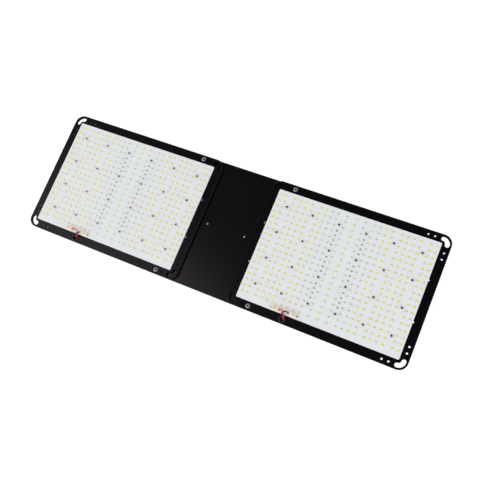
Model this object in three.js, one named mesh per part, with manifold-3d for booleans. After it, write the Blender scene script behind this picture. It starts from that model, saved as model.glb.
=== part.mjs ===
// LED grow light: two heat sinks with one LED board each, joined by a centre plate that carries the driver.
// Millimetres, +Z up. The light lies on its driver with the LEDs facing up. +X runs along its length, and
// the origin is under its middle, on the surface that it stands on.

import * as THREE from "three";
import { mergeVertices } from "three/addons/utils/BufferGeometryUtils.js";
import Module from "manifold-3d";

const wasm = await Module();
wasm.setup();

// ---------------------------------------------------------------- driving dimensions

const driverHeight = 39;
const plateThick = 2;
const slabThick = 5;
const pasteFilm = 0.125;
const boardThick = 1.625;

const plateBottom = driverHeight;
const slabBottom = plateBottom + plateThick;
const slabTop = slabBottom + slabThick;
const boardBottom = slabTop + pasteFilm;
const boardTop = boardBottom + boardThick;

// Heat sinks and boards: equal plates, both centred on (-slabCentreX, 0) and (slabCentreX, 0).
const slabLength = 316;
const slabWidth = 231;
const slabCorner = 16;
const slabCentreX = 206.8;
const boardLength = 285;
const boardWidth = 200;
const boardCorner = 1.5;

// Hanging slots: a quarter ring about the centre of each rounded corner, with round ends.
const slotRadius = 8.7;
const slotHalfWidth = 3.8;

// Small open holes towards each corner, from the middle of the heat sink.
const smallHoleRadius = 1.8;
const innerLongEdgeHole = [117, 108];
const outerLongEdgeHole = [128.2, 108];
const shortEdgeHoles = [[150.5, 85.8], [150.5, 74.7]];
const boardEndHole = [142.5, 36];

// Rivets at the end that lies on the centre plate, from the middle of the heat sink.
const rivetHoleRadius = 2.1;
const cornerRivetAt = [117, 108];
const flushRivetAt = [144, 36];

// Wire hole of each heat sink, from its middle.
const wireHole = [-54.5, -107.9];
const wireHoleRadius = 5.1;

// Where the red and the black lead pass the grommet, from the middle of its wire hole.
const leadPlaces = [[1.9, 0.6], [-2.1, -0.2]];
const leadHoleRadius = 1.35;

// Centre plate, which both heat sinks overlap.
const plateLength = 250;
const centreScrewAt = [36, 0.75];
const centreScrewHole = 1.15;

// Driver, lying along X under the centre plate.
const caseLength = 216;
const caseHalfWidth = 31.5;
const caseWall = 3;
const caseSideWall = 5;
const endPlateThick = 3;
const footLength = 11;
const footHoleX = caseLength / 2 + endPlateThick + footLength / 2;
const footHoleY = 25;
const footHoleRadius = 2.3;
const endScrewY = caseHalfWidth - 2.5;
const endScrewHeights = [5.5, 30];
const endScrewChannel = 1.6;
const endScrewHole = 1.75;
const finGrooveHeights = [10.9, 15.5, 20.1, 24.7];
const finGrooveWidth = 2.6;
const finGrooveDepth = 2.4;
const ledgeHeight = 6;
const ledgeWidth = 3;
const axisHeight = 17;
const inletY = 0;
const outletY = -14;
const dimmerY = 16;
const glandHoleRadius = 8;
const bushHoleRadius = 4.2;

// Wiring on the back.
const wireRadius = 1;
const wireHeight = 36.8;
const plateClipY = -48;
const slabClipY = -75;
const cableRadius = 3.5;
const portPitch = 4.2;
const portRadius = 1.35;
const portDepth = 10;
const spliceEndX = -212;
const spliceLength = 20;
const spliceWidth = 13;
const spliceBottom = 32.25;
const splicePositiveY = -6;
const spliceNegativeY = -24;

// ---------------------------------------------------------------- materials

function finish(colour, roughness, metalness) {
  return new THREE.MeshStandardMaterial({ color: colour, roughness, metalness });
}

const blackAnodised = finish(0x1c1c1e, 0.5, 0.6);
const blackSheet = finish(0x202022, 0.55, 0.5);
const whiteBoard = finish(0xe4eaee, 0.5, 0.0);
const creamPlastic = finish(0xe9dfc4, 0.45, 0.0);
const silver = finish(0xc8c8ca, 0.3, 1.0);
const blackRubber = finish(0x18181a, 0.75, 0.0);
const redInsulation = finish(0xd8142a, 0.4, 0.0);
const blackInsulation = finish(0x101012, 0.4, 0.0);
const driverGrey = finish(0x4a4c50, 0.45, 0.7);
const blackPlastic = finish(0x151517, 0.5, 0.0);
const greyPlastic = finish(0x9a9ca0, 0.5, 0.0);
const greenBoard = finish(0x1f5a3a, 0.5, 0.0);
const ferrite = finish(0x3a3634, 0.7, 0.1);
const capacitorSleeve = finish(0x22242c, 0.4, 0.1);

// ---------------------------------------------------------------- shapes

const X = new THREE.Vector3(1, 0, 0);
const Y = new THREE.Vector3(0, 1, 0);
const Z = new THREE.Vector3(0, 0, 1);
const minusX = X.clone().negate();
const minusY = Y.clone().negate();
const minusZ = Z.clone().negate();

// Turns a flat shape's (x, y) into (Y, Z) and its depth into +X.
const depthAlongX = new THREE.Matrix4().makeBasis(Y, Z, X);
// Turns a flat shape's (x, y) into (X, Z) and its depth into -Y.
const depthAlongMinusY = new THREE.Matrix4().makeBasis(X, Z, minusY);
// Where the axis of a turned shape points.
const turnedAxis = {
  up: new THREE.Matrix4().makeBasis(X, Z, minusY),
  down: new THREE.Matrix4().makeBasis(X, minusZ, Y),
  right: new THREE.Matrix4().makeBasis(Y, X, minusZ),
  left: new THREE.Matrix4().makeBasis(Y, minusX, Z),
};

function roundedRectangle(length, width, radius) {
  const x = length / 2;
  const y = width / 2;
  const shape = new THREE.Shape();
  shape.moveTo(x - radius, -y);
  shape.absarc(x - radius, -y + radius, radius, -Math.PI / 2, 0);
  shape.absarc(x - radius, y - radius, radius, 0, Math.PI / 2);
  shape.absarc(-x + radius, y - radius, radius, Math.PI / 2, Math.PI);
  shape.absarc(-x + radius, -y + radius, radius, Math.PI, 1.5 * Math.PI);
  return shape;
}

function ringPoints(x, y, radius, sides) {
  return Array.from({ length: sides }, (_, i) => {
    const angle = (2 * Math.PI * (i + 0.5)) / sides;
    return new THREE.Vector2(x + radius * Math.cos(angle), y + radius * Math.sin(angle));
  });
}

function roundHole(x, y, radius, sides = 8) {
  return new THREE.Path(ringPoints(x, y, radius, sides));
}

// A quarter-ring slot about (x, y), bulging towards the corner that lies at (signX, signY) from it.
function cornerSlot(x, y, signX, signY) {
  const from = Math.atan2(signY, signX) - Math.PI / 4;
  const to = from + Math.PI / 2;
  const points = [];
  const addArc = (cx, cy, radius, start, end, steps) => {
    for (let i = 0; i <= steps; i++) {
      const angle = start + ((end - start) * i) / steps;
      points.push(new THREE.Vector2(cx + radius * Math.cos(angle), cy + radius * Math.sin(angle)));
    }
  };
  const centreOf = (angle) => [x + slotRadius * Math.cos(angle), y + slotRadius * Math.sin(angle)];
  addArc(x, y, slotRadius + slotHalfWidth, from, to, 8);
  addArc(...centreOf(to), slotHalfWidth, to + 0.3, to + Math.PI - 0.3, 5);
  addArc(x, y, slotRadius - slotHalfWidth, to, from, 5);
  addArc(...centreOf(from), slotHalfWidth, from + Math.PI + 0.3, from + 2 * Math.PI - 0.3, 5);
  return new THREE.Path(points);
}

function extrude(shape, depth, curveSegments = 6) {
  return new THREE.ExtrudeGeometry(shape, { depth, bevelEnabled: false, curveSegments });
}

// A turned shape from [radius, height] pairs, given upwards along its outside.
function turn(profile, direction = "up", sides = 8) {
  const points = profile.map(([radius, height]) => new THREE.Vector2(radius, height));
  return new THREE.LatheGeometry(points, sides).applyMatrix4(turnedAxis[direction]);
}

// A ring-shaped turned part: its profile closes on itself.
function turnRing(profile, direction = "up", sides = 16) {
  return turn([...profile, profile[0]], direction, sides);
}

function box(sizeX, sizeY, sizeZ, x = 0, y = 0, z = 0) {
  return new THREE.BoxGeometry(sizeX, sizeY, sizeZ).translate(x, y, z);
}

// A round bar whose middle is at (x, y, z).
function bar(radius, length, direction, x, y, z, sides = 16) {
  return new THREE.CylinderGeometry(radius, radius, length, sides)
    .applyMatrix4(turnedAxis[direction])
    .translate(x, y, z);
}

function tube(points, radius, steps, sides = 8) {
  const path = new THREE.CatmullRomCurve3(points.map((p) => new THREE.Vector3(...p)));
  const section = new THREE.Shape(ringPoints(0, 0, radius, sides));
  return new THREE.ExtrudeGeometry(section, { steps, extrudePath: path, bevelEnabled: false });
}

// ---------------------------------------------------------------- cutting and joining

function toSolid(geometry) {
  const bare = geometry.clone();
  bare.deleteAttribute("normal");
  bare.deleteAttribute("uv");
  const merged = mergeVertices(bare);
  const vertProperties = new Float32Array(merged.attributes.position.array);
  const triVerts = new Uint32Array(merged.index.array);
  return new wasm.Manifold(new wasm.Mesh({ numProp: 3, vertProperties, triVerts }));
}

function toGeometry(solid) {
  const mesh = solid.getMesh();
  const geometry = new THREE.BufferGeometry();
  geometry.setAttribute("position", new THREE.BufferAttribute(mesh.vertProperties, 3));
  geometry.setIndex(new THREE.BufferAttribute(mesh.triVerts, 1));
  geometry.computeVertexNormals();
  return geometry;
}

function cut(geometry, tools) {
  const body = tools.reduce((rest, tool) => rest.subtract(toSolid(tool)), toSolid(geometry));
  return toGeometry(body);
}

// ---------------------------------------------------------------- the assembly

const light = new THREE.Group();

function add(name, geometry, material, x = 0, y = 0, z = 0) {
  const mesh = new THREE.Mesh(geometry, material);
  mesh.name = name;
  mesh.position.set(x, y, z);
  light.add(mesh);
}

// side is -1 for the left heat sink and 1 for the right one; the centre plate is towards -side.
function heatSink(side) {
  const shape = roundedRectangle(slabLength, slabWidth, slabCorner);
  for (const signX of [-1, 1]) {
    for (const signY of [-1, 1]) {
      const cornerX = signX * (slabLength / 2 - slabCorner);
      const cornerY = signY * (slabWidth / 2 - slabCorner);
      shape.holes.push(cornerSlot(cornerX, cornerY, signX, signY));
      const riveted = signX === -side;
      const openHoles = riveted ? [] : [innerLongEdgeHole, boardEndHole];
      const rivetHoles = riveted ? [cornerRivetAt, flushRivetAt] : [];
      for (const [x, y] of [outerLongEdgeHole, ...shortEdgeHoles, ...openHoles]) {
        shape.holes.push(roundHole(signX * x, signY * y, smallHoleRadius));
      }
      for (const [x, y] of rivetHoles) {
        shape.holes.push(roundHole(signX * x, signY * y, rivetHoleRadius));
      }
    }
  }
  shape.holes.push(roundHole(...wireHole, wireHoleRadius, 16));
  const tools = [];
  const sinkDepth = 2;
  const sinkRadius = 4.2;
  const spare = 0.1;
  const blindDepth = 4.4;
  const blindRadius = 2.2;
  for (const signY of [-1, 1]) {
    const [x, y] = flushRivetAt;
    const countersink = new THREE.CylinderGeometry(sinkRadius, rivetHoleRadius, sinkDepth + spare, 16);
    countersink.applyMatrix4(turnedAxis.up);
    tools.push(countersink.translate(-side * x, signY * y, slabThick - sinkDepth / 2 + spare / 2));
    const screwX = side * (footHoleX - slabCentreX);
    tools.push(bar(blindRadius, 2 * blindDepth, "up", screwX, signY * footHoleY, 0));
  }
  return cut(extrude(shape, slabThick), tools);
}

function centrePlate() {
  const shape = roundedRectangle(plateLength, slabWidth, 6);
  const cornerX = slabCentreX - cornerRivetAt[0];
  const flushX = slabCentreX - flushRivetAt[0];
  for (const sign of [-1, 1]) {
    for (const signY of [-1, 1]) {
      shape.holes.push(roundHole(sign * cornerX, signY * cornerRivetAt[1], rivetHoleRadius));
      shape.holes.push(roundHole(sign * flushX, signY * flushRivetAt[1], rivetHoleRadius));
      shape.holes.push(roundHole(sign * footHoleX, signY * footHoleY, footHoleRadius));
    }
    shape.holes.push(roundHole(sign * centreScrewAt[0], centreScrewAt[1], centreScrewHole));
  }
  return extrude(shape, plateThick);
}

// Blind rivet from the LED side: height 0 is the heat sink's top face.
const joinedThick = slabThick + plateThick;
const rivetTail = [
  [0, -joinedThick - 3.6],
  [2.4, -joinedThick - 3],
  [3.2, -joinedThick - 1.6],
  [3, -joinedThick],
  [1.9, -joinedThick],
];
const domeRivet = [...rivetTail, [1.9, 0], [3.9, 0], [3.9, 0.3], [1.9, 1.3], [0, 1.3]];
const flushRivet = [...rivetTail, [1.9, -2], [3.9, 0], [0, 0]];

// Pan-head screw pointing away from its head: height 0 is the face that it clamps.
function panScrew(shankRadius, shankLength, headRadius, headHeight) {
  return [
    [0, -shankLength],
    [shankRadius, -shankLength],
    [shankRadius, 0],
    [headRadius, 0],
    [headRadius, headHeight * 0.55],
    [headRadius * 0.75, headHeight],
    [0, headHeight],
  ];
}

// Rubber grommet, closed at its bottom but for the two leads: height 0 is the heat sink's top face.
const grommetProfile = [
  [0, -slabThick - 1],
  [5.9, -slabThick - 1],
  [5.9, -slabThick],
  [4.9, -slabThick],
  [4.9, 0],
  [5.9, 0],
  [5.9, 0.7],
  [5.2, 1.1],
  [4.2, 0.7],
  [4.2, -slabThick],
  [0, -slabThick],
];

function grommet() {
  const leadHoles = leadPlaces.map(([x, y]) => bar(leadHoleRadius, 4, "up", x, y, -slabThick, 12));
  return cut(turn(grommetProfile, "up", 16), leadHoles);
}

// Single-pole wire terminal with its wire entry towards direction (1 is +X) and a release slot on top.
function terminal(direction) {
  const length = 12.5;
  const width = 5;
  const height = 4.5;
  const entryDepth = 7;
  const body = box(length, width, height, 0, 0, height / 2);
  const entryX = direction * (length / 2);
  const entry = bar(1.3, 2 * entryDepth, "right", entryX, 0, 2.25, 12);
  const release = box(2.4, 1.6, 2, -direction * 1.2, 0, height);
  return cut(body, [entry, release]);
}

// Driver case: an extrusion with side fins, a ledge for the circuit board and four screw channels.
function driverCase() {
  const shape = new THREE.Shape();
  const edge = 1.5;
  const halfGroove = finGrooveWidth / 2;
  const bottom = finGrooveHeights[0] - halfGroove;
  shape.moveTo(-caseHalfWidth + edge, 0);
  shape.lineTo(caseHalfWidth - edge, 0);
  shape.lineTo(caseHalfWidth, edge);
  shape.lineTo(caseHalfWidth, bottom);
  for (const height of finGrooveHeights) {
    shape.lineTo(caseHalfWidth, height - halfGroove);
    shape.lineTo(caseHalfWidth - finGrooveDepth, height - halfGroove);
    shape.lineTo(caseHalfWidth - finGrooveDepth, height + halfGroove);
    shape.lineTo(caseHalfWidth, height + halfGroove);
  }
  shape.lineTo(caseHalfWidth, driverHeight - edge);
  shape.lineTo(caseHalfWidth - edge, driverHeight);
  shape.lineTo(-caseHalfWidth + edge, driverHeight);
  shape.lineTo(-caseHalfWidth, driverHeight - edge);
  for (const height of [...finGrooveHeights].reverse()) {
    shape.lineTo(-caseHalfWidth, height + halfGroove);
    shape.lineTo(-caseHalfWidth + finGrooveDepth, height + halfGroove);
    shape.lineTo(-caseHalfWidth + finGrooveDepth, height - halfGroove);
    shape.lineTo(-caseHalfWidth, height - halfGroove);
  }
  shape.lineTo(-caseHalfWidth, edge);

  const inside = caseHalfWidth - caseSideWall;
  const cavity = new THREE.Path();
  cavity.moveTo(-inside + ledgeWidth, caseWall);
  cavity.lineTo(inside - ledgeWidth, caseWall);
  cavity.lineTo(inside - ledgeWidth, ledgeHeight);
  cavity.lineTo(inside, ledgeHeight);
  cavity.lineTo(inside, driverHeight - caseWall);
  cavity.lineTo(-inside, driverHeight - caseWall);
  cavity.lineTo(-inside, ledgeHeight);
  cavity.lineTo(-inside + ledgeWidth, ledgeHeight);
  shape.holes.push(cavity);
  for (const y of [-endScrewY, endScrewY]) {
    for (const height of endScrewHeights) shape.holes.push(roundHole(y, height, endScrewChannel));
  }
  const body = extrude(shape, caseLength).translate(0, 0, -caseLength / 2).applyMatrix4(depthAlongX);
  const screwHoles = [-1, 1].map((sign) =>
    bar(centreScrewHole, 3 * caseWall, "up", sign * centreScrewAt[0], centreScrewAt[1], driverHeight, 12));
  return cut(body, screwHoles);
}

// End plate with its mounting foot, for the +X end; openings are [y, radius] at the axis height.
function endPlate(openings) {
  const inner = caseLength / 2;
  const outer = inner + endPlateThick;
  const profile = new THREE.Shape([
    new THREE.Vector2(inner, 0),
    new THREE.Vector2(outer, 0),
    new THREE.Vector2(outer, driverHeight - endPlateThick),
    new THREE.Vector2(outer + footLength, driverHeight - endPlateThick),
    new THREE.Vector2(outer + footLength, driverHeight),
    new THREE.Vector2(inner, driverHeight),
  ]);
  const body = extrude(profile, 2 * caseHalfWidth)
    .translate(0, 0, -caseHalfWidth)
    .applyMatrix4(depthAlongMinusY);
  const middle = inner + endPlateThick / 2;
  const reach = 3 * endPlateThick;
  const tools = openings.map(([y, radius]) => bar(radius, reach, "right", middle, y, axisHeight, 16));
  for (const y of [-endScrewY, endScrewY]) {
    for (const height of endScrewHeights) {
      tools.push(bar(endScrewHole, reach, "right", middle, y, height, 8));
    }
  }
  for (const y of [-footHoleY, footHoleY]) {
    tools.push(bar(footHoleRadius, 3 * endPlateThick, "up", footHoleX, y, driverHeight, 12));
  }
  return cut(body, tools);
}

// Cable gland: height 0 is the outer face of the end plate.
const gland = [
  [4, -7],
  [7.6, -7],
  [7.6, 0],
  [10.5, 0],
  [10.5, 5],
  [9.3, 5.4],
  [9.3, 14],
  [7.6, 17],
  [4, 17],
];

// Dimmer: height 0 is the inner face of the end plate.
const dimmerBody = [[0, -9], [8, -9], [8, -0.3], [4, -0.3], [4, 8], [3.14, 8], [3.14, -6], [0, -6]];
const dimmerShaft = [[0, -5.5], [3, -5.5], [3, 15.5], [2.6, 16], [0, 16]];
const knobProfile = [
  [0, 16.4],
  [3.1, 16.4],
  [3.1, 8.6],
  [4.7, 8.6],
  [4.7, 5.6],
  [8.4, 5.6],
  [9, 6.4],
  [9, 17.8],
  [8.2, 19],
  [0, 19],
];

function dimmerNut() {
  const acrossCorners = 12.7;
  const hexagon = new THREE.Shape(ringPoints(0, 0, acrossCorners / 2, 6));
  hexagon.holes.push(roundHole(0, 0, 4.2, 16));
  return extrude(hexagon, 2).applyMatrix4(depthAlongX);
}

// Three-way splice: a block with three wire ports in its +X end.
function splice() {
  const height = slabBottom - pasteFilm - spliceBottom;
  const middleX = spliceEndX - spliceLength / 2;
  const body = box(spliceLength, spliceWidth, height, middleX, 0, spliceBottom + height / 2);
  const ports = [-1, 0, 1].map((k) =>
    bar(portRadius, 2 * portDepth, "right", spliceEndX, k * portPitch, wireHeight, 12));
  return cut(body, ports);
}

// Wire clip whose base sits at height base; the two wires run along X through its window.
function wireClip(base) {
  const shape = new THREE.Shape();
  const halfWidth = 6.5;
  const halfWindow = 4.5;
  const windowReach = 1.4;
  const strapReach = 2.2;
  const length = 8;
  shape.moveTo(-halfWidth, wireHeight - strapReach);
  shape.lineTo(halfWidth, wireHeight - strapReach);
  shape.lineTo(halfWidth, base);
  shape.lineTo(-halfWidth, base);
  const window = new THREE.Path();
  window.moveTo(-halfWindow, wireHeight - windowReach);
  window.lineTo(halfWindow, wireHeight - windowReach);
  window.lineTo(halfWindow, wireHeight + windowReach);
  window.lineTo(-halfWindow, wireHeight + windowReach);
  shape.holes.push(window);
  return extrude(shape, length).translate(0, 0, -length / 2).applyMatrix4(depthAlongX);
}

// ---------------------------------------------------------------- wiring routes

const entryHeight = boardTop + 2.25;
const backRunX = [100, 50, 0, -50, -100, -150];

function backRun(y) {
  return backRunX.map((x) => [x, y, wireHeight]);
}

const routes = {
  lead_left_positive: [
    [-276.2, -95, entryHeight], [-271.2, -95, entryHeight], [-268.4, -93.9, 51], [-265, -93.8, 51.8],
    [-261.8, -94.5, 52], [-259.4, -95.9, 51.8], [-258, -98.4, 51.2], [-257.6, -101.4, 50.2],
    [-258.3, -104.1, 49], [-259.2, -106.3, 46.8], [-259.4, -107.3, 44], [-259.4, -107.3, 41],
    [-259.4, -107.3, 37.6], [-259.4, -104.8, 34.2], [-259, -97, 33.8], [-258.4, -88, 36],
    [-257.6, -80, wireHeight], [-257.6, -70, wireHeight],
    [-254, -50, wireHeight], [-247, -25, wireHeight], [-244.4, -4, wireHeight], [-238.5, 8.5, wireHeight],
    [-226, 13, wireHeight], [-210, 12.6, wireHeight], [-200.4, 8.6, wireHeight], [-198, 2.4, wireHeight],
    [-202.5, -1.4, wireHeight], [-210, -1.8, wireHeight], [-219, -1.8, wireHeight],
  ],
  lead_left_negative: [
    [-248.4, -95, entryHeight], [-253.2, -95, 50.1], [-254.9, -96.3, 51.5], [-256.2, -97.8, 53],
    [-257.6, -99.7, 53.8], [-258.9, -101.9, 53.1], [-260.5, -104.1, 51.1], [-262.6, -106.4, 48.2],
    [-263.3, -107.8, 45.2], [-263.4, -108.1, 42.8], [-263.4, -108.1, 40.6], [-263.4, -108.1, 37.6],
    [-263.2, -105.2, 34], [-262.8, -97, 33.6], [-262.2, -88, 36],
    [-261.6, -80, wireHeight], [-261.6, -70, wireHeight], [-259.4, -58, 35], [-251, -47.4, 33.4],
    [-241, -42, 35], [-232, -39.6, wireHeight], [-214, -39, wireHeight], [-201, -38, wireHeight],
    [-196.4, -33.4, wireHeight], [-201, -28.8, wireHeight], [-209, -28.2, wireHeight],
    [-219, -28.2, wireHeight],
  ],
  lead_right_positive: [
    [138.4, -95, entryHeight], [143.4, -95, entryHeight], [145.6, -94.4, 50.9], [147.8, -94.6, 51.8],
    [149.8, -95.7, 51.8], [151.6, -97.3, 51.2], [153, -99.8, 50.6], [153.6, -102.6, 49.9],
    [153.7, -105, 48.2], [154, -106.8, 45.4], [154.2, -107.3, 42], [154.2, -107.3, 37.8],
    [153.9, -105, 34.2], [153.4, -97, 33.8],
    [152.8, -88, 36], [152.2, -80, wireHeight], [152, -70, wireHeight], [147.5, -55, wireHeight],
    [136, -47.4, wireHeight], [120, -46, wireHeight],
    ...backRun(-46),
    [-168, -45, wireHeight], [-180, -38.6, 35.4], [-189, -28.6, 33.6], [-196, -19, 33.2],
    [-202, -12, 35], [-209, -10.2, wireHeight], [-219, -10.2, wireHeight],
  ],
  lead_right_negative: [
    [164.2, -95, entryHeight], [159.7, -95, entryHeight], [157.7, -94.5, 51.3], [155.7, -93.9, 53],
    [153.4, -94.3, 53.8], [151.6, -95.7, 54.1], [150.4, -97.7, 53.7], [149.9, -100, 52.6],
    [149.7, -102.4, 51], [149.8, -105, 48.9], [150.1, -107.2, 46], [150.2, -108.1, 43.4],
    [150.2, -108.1, 40.6], [150.2, -108.1, 37.6], [149.9, -105.2, 34], [149.4, -97, 33.8],
    [148.8, -88, 36], [148.2, -80, wireHeight], [148, -72, wireHeight], [143.6, -58, wireHeight],
    [133, -51.2, wireHeight], [119, -50, wireHeight],
    ...backRun(-50),
    [-166, -49.6, wireHeight], [-178, -45.4, wireHeight], [-187, -35.4, wireHeight],
    [-195.6, -26.6, wireHeight], [-204, -24, wireHeight], [-219, -24, wireHeight],
  ],
  output_cable: [
    [-112, outletY, axisHeight], [-130, outletY, axisHeight], [-142, outletY, 18.6],
    [-153, outletY, 23.6], [-162, outletY, 30], [-172, outletY, 35.6], [-184, outletY, 37],
  ],
  output_core_positive: [
    [-184.4, -12.4, 37], [-190, -11.8, 37], [-198, -7.6, 37],
    [-206, -6, wireHeight], [-219, -6, wireHeight],
  ],
  output_core_negative: [
    [-184.4, -15.6, 37], [-190, -16.6, 37], [-198, -19, 37],
    [-206, -19.8, wireHeight], [-219, -19.8, wireHeight],
  ],
};

// ---------------------------------------------------------------- heat sinks, plate and boards

for (const [word, side] of [["left", -1], ["right", 1]]) {
  const x = side * slabCentreX;
  add(`heat_sink_${word}`, heatSink(side), blackAnodised, x, 0, slabBottom);
  const board = extrude(roundedRectangle(boardLength, boardWidth, boardCorner), boardThick, 3);
  add(`led_board_${word}`, board, whiteBoard, x, 0, boardBottom);
  add(`terminal_${word}_positive`, terminal(1), creamPlastic, x - 71.5, -95, boardTop);
  add(`terminal_${word}_negative`, terminal(-1), creamPlastic, x - 39.5, -95, boardTop);
  add(`wire_grommet_${word}`, grommet(), blackRubber, x + wireHole[0], wireHole[1], slabTop);
  for (const [place, signY] of [["front", -1], ["rear", 1]]) {
    const cornerX = x - side * cornerRivetAt[0];
    const cornerY = signY * cornerRivetAt[1];
    add(`corner_rivet_${word}_${place}`, turn(domeRivet, "up", 10), silver, cornerX, cornerY, slabTop);
    const flushX = x - side * flushRivetAt[0];
    const flushY = signY * flushRivetAt[1];
    add(`flush_rivet_${word}_${place}`, turn(flushRivet, "up", 10), silver, flushX, flushY, slabTop);
  }
}
add("centre_plate", centrePlate(), blackSheet, 0, 0, plateBottom);

// ---------------------------------------------------------------- driver

add("driver_case", driverCase(), driverGrey);
const inletPlate = endPlate([[inletY, glandHoleRadius]]);
// The outlet's openings are mirrored here because the plate is turned half way round to the -X end.
const outletPlate = endPlate([[-outletY, glandHoleRadius], [-dimmerY, bushHoleRadius]]);
const halfTurn = new THREE.Matrix4().makeBasis(minusX, minusY, Z);
add("inlet_end_plate", inletPlate, driverGrey);
add("outlet_end_plate", outletPlate.applyMatrix4(halfTurn), driverGrey);

const endFace = caseLength / 2 + endPlateThick;
add("inlet_gland", turnRing(gland, "right"), blackPlastic, endFace, inletY, axisHeight);
add("outlet_gland", turnRing(gland, "left"), blackPlastic, -endFace, outletY, axisHeight);

const endScrew = panScrew(1.4, 9, 2.7, 2);
const footScrew = panScrew(1.95, 9, 3.9, 2.6);
for (const [word, sign, out] of [["inlet", 1, "right"], ["outlet", -1, "left"]]) {
  let number = 0;
  for (const y of [-endScrewY, endScrewY]) {
    for (const height of endScrewHeights) {
      number += 1;
      add(`${word}_plate_screw_${number}`, turn(endScrew, out), silver, sign * endFace, y, height);
    }
  }
  for (const [place, signY] of [["front", -1], ["rear", 1]]) {
    const foot = driverHeight - endPlateThick;
    const name = `${word}_foot_screw_${place}`;
    add(name, turn(footScrew, "down", 10), silver, sign * footHoleX, signY * footHoleY, foot);
  }
}
const centreScrew = turn(panScrew(0.95, 6, 1.6, 1.2), "up", 10);
const [screwX, screwY] = centreScrewAt;
add("centre_screw_left", centreScrew, silver, -screwX, screwY, slabBottom);
add("centre_screw_right", centreScrew.clone(), silver, screwX, screwY, slabBottom);

// Dimmer at the outlet end.
const innerFace = -caseLength / 2;
const knobFaceHeight = 19;
const pointer = box(1.6, 5, 1.2, -knobFaceHeight, 5, 0);
add("dimmer_body", turn(dimmerBody, "left", 16), greyPlastic, innerFace, dimmerY, axisHeight);
add("dimmer_nut", dimmerNut(), silver, -endFace - 2, dimmerY, axisHeight);
add("dimmer_shaft", turn(dimmerShaft, "left", 16), silver, innerFace, dimmerY, axisHeight);
const knob = cut(turn(knobProfile, "left", 16), [pointer]);
add("dimmer_knob", knob, blackPlastic, innerFace, dimmerY, axisHeight);

// Inside the driver.
const circuitTop = ledgeHeight + boardThick;
const circuitSpare = 0.25;
const circuitLength = 208;
const circuitWidth = 2 * (caseHalfWidth - caseSideWall - circuitSpare);
const circuit = box(circuitLength, circuitWidth, boardThick, 0, 0, boardThick / 2);
add("circuit_board", circuit, greenBoard, 0, 0, ledgeHeight);
const chokeRing = [[5, 0], [12, 0], [13, 1], [13, 12], [12, 13], [5, 13]];
add("input_choke", turnRing(chokeRing), ferrite, 80, 0, circuitTop);
const bulkCan = [[0, 0], [10.5, 0], [11, 0.5], [11, 25], [10.2, 26], [0, 26]];
const outputCan = [[0, 0], [7.5, 0], [8, 0.5], [8, 23], [7.4, 24], [0, 24]];
add("bulk_capacitor", turn(bulkCan, "up", 16), capacitorSleeve, 50, -12, circuitTop);
add("output_capacitor", turn(outputCan, "up", 16), capacitorSleeve, -72, -10, circuitTop);
const coreHalfLength = 21;
const coreWidth = 34;
const coreHeight = 26;
const coilHalfLength = 14;
const coilHeight = 19;
const core = new THREE.Shape();
core.moveTo(-coreHalfLength, 0);
core.lineTo(coreHalfLength, 0);
core.lineTo(coreHalfLength, coreHeight);
core.lineTo(coilHalfLength, coreHeight);
core.lineTo(coilHalfLength, coilHeight);
core.lineTo(-coilHalfLength, coilHeight);
core.lineTo(-coilHalfLength, coreHeight);
core.lineTo(-coreHalfLength, coreHeight);
const transformer = extrude(core, coreWidth)
  .translate(0, 0, -coreWidth / 2)
  .applyMatrix4(depthAlongMinusY);
add("transformer", transformer, ferrite, 0, -2, circuitTop);

// ---------------------------------------------------------------- wiring

for (const name of Object.keys(routes)) {
  if (name === "output_cable") {
    add(name, tube(routes[name], cableRadius, 16, 10), blackRubber);
    continue;
  }
  const colour = name.endsWith("positive") ? redInsulation : blackInsulation;
  const steps = 3 * routes[name].length;
  add(name, tube(routes[name], wireRadius, steps), colour);
}
add("splice_positive", splice(), greyPlastic, 0, splicePositiveY, 0);
add("splice_negative", splice(), greyPlastic, 0, spliceNegativeY, 0);
for (const [number, x] of [70, -70].entries()) {
  add(`plate_clip_${number + 1}`, wireClip(plateBottom), blackPlastic, x, plateClipY, 0);
}
const clipAcross = new THREE.Matrix4().makeBasis(Y, minusX, Z);
for (const [word, x] of [["left", -259.6], ["right", 150.1]]) {
  add(`slab_clip_${word}`, wireClip(slabBottom).applyMatrix4(clipAcross), blackPlastic, x, slabClipY, 0);
}

export default light;
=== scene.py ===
import math
import random

import bmesh
import bpy
from mathutils import Matrix, Vector


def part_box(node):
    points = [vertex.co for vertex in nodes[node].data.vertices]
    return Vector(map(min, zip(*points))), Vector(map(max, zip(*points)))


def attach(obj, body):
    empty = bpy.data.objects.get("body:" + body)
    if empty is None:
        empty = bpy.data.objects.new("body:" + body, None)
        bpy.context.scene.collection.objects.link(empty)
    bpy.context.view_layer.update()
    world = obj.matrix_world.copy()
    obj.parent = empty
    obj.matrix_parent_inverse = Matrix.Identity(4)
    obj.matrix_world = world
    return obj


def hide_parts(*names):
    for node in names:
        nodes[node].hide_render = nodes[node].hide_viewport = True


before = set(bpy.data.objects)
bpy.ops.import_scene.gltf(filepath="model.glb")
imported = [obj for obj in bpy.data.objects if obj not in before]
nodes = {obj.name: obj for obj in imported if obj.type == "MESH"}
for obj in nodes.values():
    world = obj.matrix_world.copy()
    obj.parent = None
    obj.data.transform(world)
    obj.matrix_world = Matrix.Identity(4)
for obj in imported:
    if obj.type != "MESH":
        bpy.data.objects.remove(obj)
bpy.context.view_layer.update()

# Looks of a twin-board LED grow light, built around its CAD frame. The sizes below are in millimetres, in the frame's
# own axes, and are turned into metres where a mesh is made.

MM = 0.001
random.seed(7)


def low(node):
    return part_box(node)[0] / MM


def high(node):
    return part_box(node)[1] / MM


def middle(node):
    return (low(node) + high(node)) / 2


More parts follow.
